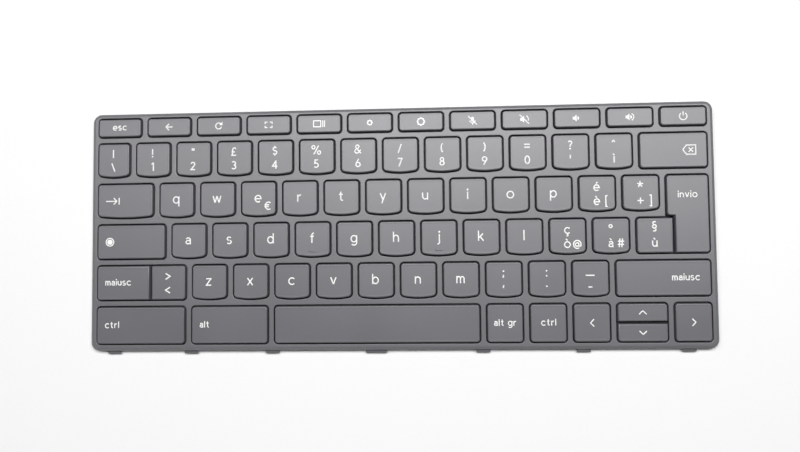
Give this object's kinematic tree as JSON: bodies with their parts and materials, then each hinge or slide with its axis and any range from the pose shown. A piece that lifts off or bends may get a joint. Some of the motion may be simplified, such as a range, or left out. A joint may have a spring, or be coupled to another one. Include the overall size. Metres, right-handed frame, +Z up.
{
  "type": "laptop keyboard",
  "caption": "Compact laptop keyboard module: low scissor-guided key caps in a moulded key frame over a metal base plate, with front hook tabs and screw holes.",
  "frame": {"origin": "under the middle of the part, on the plane of the base plate's underside", "axes": "+X along the key rows to the right, +Y away from the user, +Z up out of the key caps"},
  "size_m": [0.2742, 0.1076, 0.0052],
  "materials": {
    "cap_plastic": "fine matte",
    "frame_plastic": "matte",
    "plate_metal": "rolled",
    "dome_rubber": "translucent silicone",
    "link_plastic": "moulded"
  },
  "bodies": {
    "chassis": {"key_frame": "frame_plastic", "base_plate": "plate_metal", "membrane": "dome_rubber", "scissor_links": "link_plastic", "fixed_keys": "cap_plastic"},
    "key_0": {"key_0": "cap_plastic"},
    "key_1": {"key_1": "cap_plastic"},
    "key_2": {"key_2": "cap_plastic"},
    "key_3": {"key_3": "cap_plastic"},
    "key_4": {"key_4": "cap_plastic"},
    "key_5": {"key_5": "cap_plastic"},
    "key_6": {"key_6": "cap_plastic"},
    "key_7": {"key_7": "cap_plastic"},
    "key_8": {"key_8": "cap_plastic"},
    "key_9": {"key_9": "cap_plastic"},
    "key_a": {"key_a": "cap_plastic"},
    "key_a_grave": {"key_a_grave": "cap_plastic"},
    "key_apostrophe": {"key_apostrophe": "cap_plastic"},
    "key_b": {"key_b": "cap_plastic"},
    "key_backspace": {"key_backspace": "cap_plastic"},
    "key_bar": {"key_bar": "cap_plastic"},
    "key_c": {"key_c": "cap_plastic"},
    "key_comma": {"key_comma": "cap_plastic"},
    "key_d": {"key_d": "cap_plastic"},
    "key_e": {"key_e": "cap_plastic"},
    "key_e_grave": {"key_e_grave": "cap_plastic"},
    "key_enter": {"key_enter": "cap_plastic"},
    "key_f": {"key_f": "cap_plastic"},
    "key_g": {"key_g": "cap_plastic"},
    "key_h": {"key_h": "cap_plastic"},
    "key_i": {"key_i": "cap_plastic"},
    "key_i_grave": {"key_i_grave": "cap_plastic"},
    "key_j": {"key_j": "cap_plastic"},
    "key_k": {"key_k": "cap_plastic"},
    "key_l": {"key_l": "cap_plastic"},
    "key_launcher": {"key_launcher": "cap_plastic"},
    "key_left_shift": {"key_left_shift": "cap_plastic"},
    "key_less": {"key_less": "cap_plastic"},
    "key_m": {"key_m": "cap_plastic"},
    "key_minus": {"key_minus": "cap_plastic"},
    "key_n": {"key_n": "cap_plastic"},
    "key_o": {"key_o": "cap_plastic"},
    "key_o_grave": {"key_o_grave": "cap_plastic"},
    "key_p": {"key_p": "cap_plastic"},
    "key_period": {"key_period": "cap_plastic"},
    "key_plus": {"key_plus": "cap_plastic"},
    "key_q": {"key_q": "cap_plastic"},
    "key_r": {"key_r": "cap_plastic"},
    "key_right_shift": {"key_right_shift": "cap_plastic"},
    "key_s": {"key_s": "cap_plastic"},
    "key_space": {"key_space": "cap_plastic"},
    "key_t": {"key_t": "cap_plastic"},
    "key_tab": {"key_tab": "cap_plastic"},
    "key_u": {"key_u": "cap_plastic"},
    "key_u_grave": {"key_u_grave": "cap_plastic"},
    "key_v": {"key_v": "cap_plastic"},
    "key_w": {"key_w": "cap_plastic"},
    "key_x": {"key_x": "cap_plastic"},
    "key_y": {"key_y": "cap_plastic"},
    "key_z": {"key_z": "cap_plastic"}
  },
  "joints": [
    {"name": "press_0", "type": "slide", "parent": "chassis", "child": "key_0", "axis": [0, 0, -1], "range_m": [0, 0.0014], "stiffness_N_per_m": 400, "deforming": ["membrane", "scissor_links"]},
    {"name": "press_1", "type": "slide", "parent": "chassis", "child": "key_1", "axis": [0, 0, -1], "range_m": [0, 0.0014], "stiffness_N_per_m": 400, "deforming": ["membrane", "scissor_links"]},
    {"name": "press_2", "type": "slide", "parent": "chassis", "child": "key_2", "axis": [0, 0, -1], "range_m": [0, 0.0014], "stiffness_N_per_m": 400, "deforming": ["membrane", "scissor_links"]},
    {"name": "press_3", "type": "slide", "parent": "chassis", "child": "key_3", "axis": [0, 0, -1], "range_m": [0, 0.0014], "stiffness_N_per_m": 400, "deforming": ["membrane", "scissor_links"]},
    {"name": "press_4", "type": "slide", "parent": "chassis", "child": "key_4", "axis": [0, 0, -1], "range_m": [0, 0.0014], "stiffness_N_per_m": 400, "deforming": ["membrane", "scissor_links"]},
    {"name": "press_5", "type": "slide", "parent": "chassis", "child": "key_5", "axis": [0, 0, -1], "range_m": [0, 0.0014], "stiffness_N_per_m": 400, "deforming": ["membrane", "scissor_links"]},
    {"name": "press_6", "type": "slide", "parent": "chassis", "child": "key_6", "axis": [0, 0, -1], "range_m": [0, 0.0014], "stiffness_N_per_m": 400, "deforming": ["membrane", "scissor_links"]},
    {"name": "press_7", "type": "slide", "parent": "chassis", "child": "key_7", "axis": [0, 0, -1], "range_m": [0, 0.0014], "stiffness_N_per_m": 400, "deforming": ["membrane", "scissor_links"]},
    {"name": "press_8", "type": "slide", "parent": "chassis", "child": "key_8", "axis": [0, 0, -1], "range_m": [0, 0.0014], "stiffness_N_per_m": 400, "deforming": ["membrane", "scissor_links"]},
    {"name": "press_9", "type": "slide", "parent": "chassis", "child": "key_9", "axis": [0, 0, -1], "range_m": [0, 0.0014], "stiffness_N_per_m": 400, "deforming": ["membrane", "scissor_links"]},
    {"name": "press_a", "type": "slide", "parent": "chassis", "child": "key_a", "axis": [0, 0, -1], "range_m": [0, 0.0014], "stiffness_N_per_m": 400, "deforming": ["membrane", "scissor_links"]},
    {"name": "press_a_grave", "type": "slide", "parent": "chassis", "child": "key_a_grave", "axis": [0, 0, -1], "range_m": [0, 0.0014], "stiffness_N_per_m": 400, "deforming": ["membrane", "scissor_links"]},
    {"name": "press_apostrophe", "type": "slide", "parent": "chassis", "child": "key_apostrophe", "axis": [0, 0, -1], "range_m": [0, 0.0014], "stiffness_N_per_m": 400, "deforming": ["membrane", "scissor_links"]},
    {"name": "press_b", "type": "slide", "parent": "chassis", "child": "key_b", "axis": [0, 0, -1], "range_m": [0, 0.0014], "stiffness_N_per_m": 400, "deforming": ["membrane", "scissor_links"]},
    {"name": "press_backspace", "type": "slide", "parent": "chassis", "child": "key_backspace", "axis": [0, 0, -1], "range_m": [0, 0.0014], "stiffness_N_per_m": 400, "deforming": ["membrane", "scissor_links"]},
    {"name": "press_bar", "type": "slide", "parent": "chassis", "child": "key_bar", "axis": [0, 0, -1], "range_m": [0, 0.0014], "stiffness_N_per_m": 400, "deforming": ["membrane", "scissor_links"]},
    {"name": "press_c", "type": "slide", "parent": "chassis", "child": "key_c", "axis": [0, 0, -1], "range_m": [0, 0.0014], "stiffness_N_per_m": 400, "deforming": ["membrane", "scissor_links"]},
    {"name": "press_comma", "type": "slide", "parent": "chassis", "child": "key_comma", "axis": [0, 0, -1], "range_m": [0, 0.0014], "stiffness_N_per_m": 400, "deforming": ["membrane", "scissor_links"]},
    {"name": "press_d", "type": "slide", "parent": "chassis", "child": "key_d", "axis": [0, 0, -1], "range_m": [0, 0.0014], "stiffness_N_per_m": 400, "deforming": ["membrane", "scissor_links"]},
    {"name": "press_e", "type": "slide", "parent": "chassis", "child": "key_e", "axis": [0, 0, -1], "range_m": [0, 0.0014], "stiffness_N_per_m": 400, "deforming": ["membrane", "scissor_links"]},
    {"name": "press_e_grave", "type": "slide", "parent": "chassis", "child": "key_e_grave", "axis": [0, 0, -1], "range_m": [0, 0.0014], "stiffness_N_per_m": 400, "deforming": ["membrane", "scissor_links"]},
    {"name": "press_enter", "type": "slide", "parent": "chassis", "child": "key_enter", "axis": [0, 0, -1], "range_m": [0, 0.0014], "stiffness_N_per_m": 400, "deforming": ["membrane", "scissor_links"]},
    {"name": "press_f", "type": "slide", "parent": "chassis", "child": "key_f", "axis": [0, 0, -1], "range_m": [0, 0.0014], "stiffness_N_per_m": 400, "deforming": ["membrane", "scissor_links"]},
    {"name": "press_g", "type": "slide", "parent": "chassis", "child": "key_g", "axis": [0, 0, -1], "range_m": [0, 0.0014], "stiffness_N_per_m": 400, "deforming": ["membrane", "scissor_links"]},
    {"name": "press_h", "type": "slide", "parent": "chassis", "child": "key_h", "axis": [0, 0, -1], "range_m": [0, 0.0014], "stiffness_N_per_m": 400, "deforming": ["membrane", "scissor_links"]},
    {"name": "press_i", "type": "slide", "parent": "chassis", "child": "key_i", "axis": [0, 0, -1], "range_m": [0, 0.0014], "stiffness_N_per_m": 400, "deforming": ["membrane", "scissor_links"]},
    {"name": "press_i_grave", "type": "slide", "parent": "chassis", "child": "key_i_grave", "axis": [0, 0, -1], "range_m": [0, 0.0014], "stiffness_N_per_m": 400, "deforming": ["membrane", "scissor_links"]},
    {"name": "press_j", "type": "slide", "parent": "chassis", "child": "key_j", "axis": [0, 0, -1], "range_m": [0, 0.0014], "stiffness_N_per_m": 400, "deforming": ["membrane", "scissor_links"]},
    {"name": "press_k", "type": "slide", "parent": "chassis", "child": "key_k", "axis": [0, 0, -1], "range_m": [0, 0.0014], "stiffness_N_per_m": 400, "deforming": ["membrane", "scissor_links"]},
    {"name": "press_l", "type": "slide", "parent": "chassis", "child": "key_l", "axis": [0, 0, -1], "range_m": [0, 0.0014], "stiffness_N_per_m": 400, "deforming": ["membrane", "scissor_links"]},
    {"name": "press_launcher", "type": "slide", "parent": "chassis", "child": "key_launcher", "axis": [0, 0, -1], "range_m": [0, 0.0014], "stiffness_N_per_m": 400, "deforming": ["membrane", "scissor_links"]},
    {"name": "press_left_shift", "type": "slide", "parent": "chassis", "child": "key_left_shift", "axis": [0, 0, -1], "range_m": [0, 0.0014], "stiffness_N_per_m": 400, "deforming": ["membrane", "scissor_links"]},
    {"name": "press_less", "type": "slide", "parent": "chassis", "child": "key_less", "axis": [0, 0, -1], "range_m": [0, 0.0014], "stiffness_N_per_m": 400, "deforming": ["membrane", "scissor_links"]},
    {"name": "press_m", "type": "slide", "parent": "chassis", "child": "key_m", "axis": [0, 0, -1], "range_m": [0, 0.0014], "stiffness_N_per_m": 400, "deforming": ["membrane", "scissor_links"]},
    {"name": "press_minus", "type": "slide", "parent": "chassis", "child": "key_minus", "axis": [0, 0, -1], "range_m": [0, 0.0014], "stiffness_N_per_m": 400, "deforming": ["membrane", "scissor_links"]},
    {"name": "press_n", "type": "slide", "parent": "chassis", "child": "key_n", "axis": [0, 0, -1], "range_m": [0, 0.0014], "stiffness_N_per_m": 400, "deforming": ["membrane", "scissor_links"]},
    {"name": "press_o", "type": "slide", "parent": "chassis", "child": "key_o", "axis": [0, 0, -1], "range_m": [0, 0.0014], "stiffness_N_per_m": 400, "deforming": ["membrane", "scissor_links"]},
    {"name": "press_o_grave", "type": "slide", "parent": "chassis", "child": "key_o_grave", "axis": [0, 0, -1], "range_m": [0, 0.0014], "stiffness_N_per_m": 400, "deforming": ["membrane", "scissor_links"]},
    {"name": "press_p", "type": "slide", "parent": "chassis", "child": "key_p", "axis": [0, 0, -1], "range_m": [0, 0.0014], "stiffness_N_per_m": 400, "deforming": ["membrane", "scissor_links"]},
    {"name": "press_period", "type": "slide", "parent": "chassis", "child": "key_period", "axis": [0, 0, -1], "range_m": [0, 0.0014], "stiffness_N_per_m": 400, "deforming": ["membrane", "scissor_links"]},
    {"name": "press_plus", "type": "slide", "parent": "chassis", "child": "key_plus", "axis": [0, 0, -1], "range_m": [0, 0.0014], "stiffness_N_per_m": 400, "deforming": ["membrane", "scissor_links"]},
    {"name": "press_q", "type": "slide", "parent": "chassis", "child": "key_q", "axis": [0, 0, -1], "range_m": [0, 0.0014], "stiffness_N_per_m": 400, "deforming": ["membrane", "scissor_links"]},
    {"name": "press_r", "type": "slide", "parent": "chassis", "child": "key_r", "axis": [0, 0, -1], "range_m": [0, 0.0014], "stiffness_N_per_m": 400, "deforming": ["membrane", "scissor_links"]},
    {"name": "press_right_shift", "type": "slide", "parent": "chassis", "child": "key_right_shift", "axis": [0, 0, -1], "range_m": [0, 0.0014], "stiffness_N_per_m": 400, "deforming": ["membrane", "scissor_links"]},
    {"name": "press_s", "type": "slide", "parent": "chassis", "child": "key_s", "axis": [0, 0, -1], "range_m": [0, 0.0014], "stiffness_N_per_m": 400, "deforming": ["membrane", "scissor_links"]},
    {"name": "press_space", "type": "slide", "parent": "chassis", "child": "key_space", "axis": [0, 0, -1], "range_m": [0, 0.0014], "stiffness_N_per_m": 400, "deforming": ["membrane", "scissor_links"]},
    {"name": "press_t", "type": "slide", "parent": "chassis", "child": "key_t", "axis": [0, 0, -1], "range_m": [0, 0.0014], "stiffness_N_per_m": 400, "deforming": ["membrane", "scissor_links"]},
    {"name": "press_tab", "type": "slide", "parent": "chassis", "child": "key_tab", "axis": [0, 0, -1], "range_m": [0, 0.0014], "stiffness_N_per_m": 400, "deforming": ["membrane", "scissor_links"]},
    {"name": "press_u", "type": "slide", "parent": "chassis", "child": "key_u", "axis": [0, 0, -1], "range_m": [0, 0.0014], "stiffness_N_per_m": 400, "deforming": ["membrane", "scissor_links"]},
    {"name": "press_u_grave", "type": "slide", "parent": "chassis", "child": "key_u_grave", "axis": [0, 0, -1], "range_m": [0, 0.0014], "stiffness_N_per_m": 400, "deforming": ["membrane", "scissor_links"]},
    {"name": "press_v", "type": "slide", "parent": "chassis", "child": "key_v", "axis": [0, 0, -1], "range_m": [0, 0.0014], "stiffness_N_per_m": 400, "deforming": ["membrane", "scissor_links"]},
    {"name": "press_w", "type": "slide", "parent": "chassis", "child": "key_w", "axis": [0, 0, -1], "range_m": [0, 0.0014], "stiffness_N_per_m": 400, "deforming": ["membrane", "scissor_links"]},
    {"name": "press_x", "type": "slide", "parent": "chassis", "child": "key_x", "axis": [0, 0, -1], "range_m": [0, 0.0014], "stiffness_N_per_m": 400, "deforming": ["membrane", "scissor_links"]},
    {"name": "press_y", "type": "slide", "parent": "chassis", "child": "key_y", "axis": [0, 0, -1], "range_m": [0, 0.0014], "stiffness_N_per_m": 400, "deforming": ["membrane", "scissor_links"]},
    {"name": "press_z", "type": "slide", "parent": "chassis", "child": "key_z", "axis": [0, 0, -1], "range_m": [0, 0.0014], "stiffness_N_per_m": 400, "deforming": ["membrane", "scissor_links"]}
  ]
}
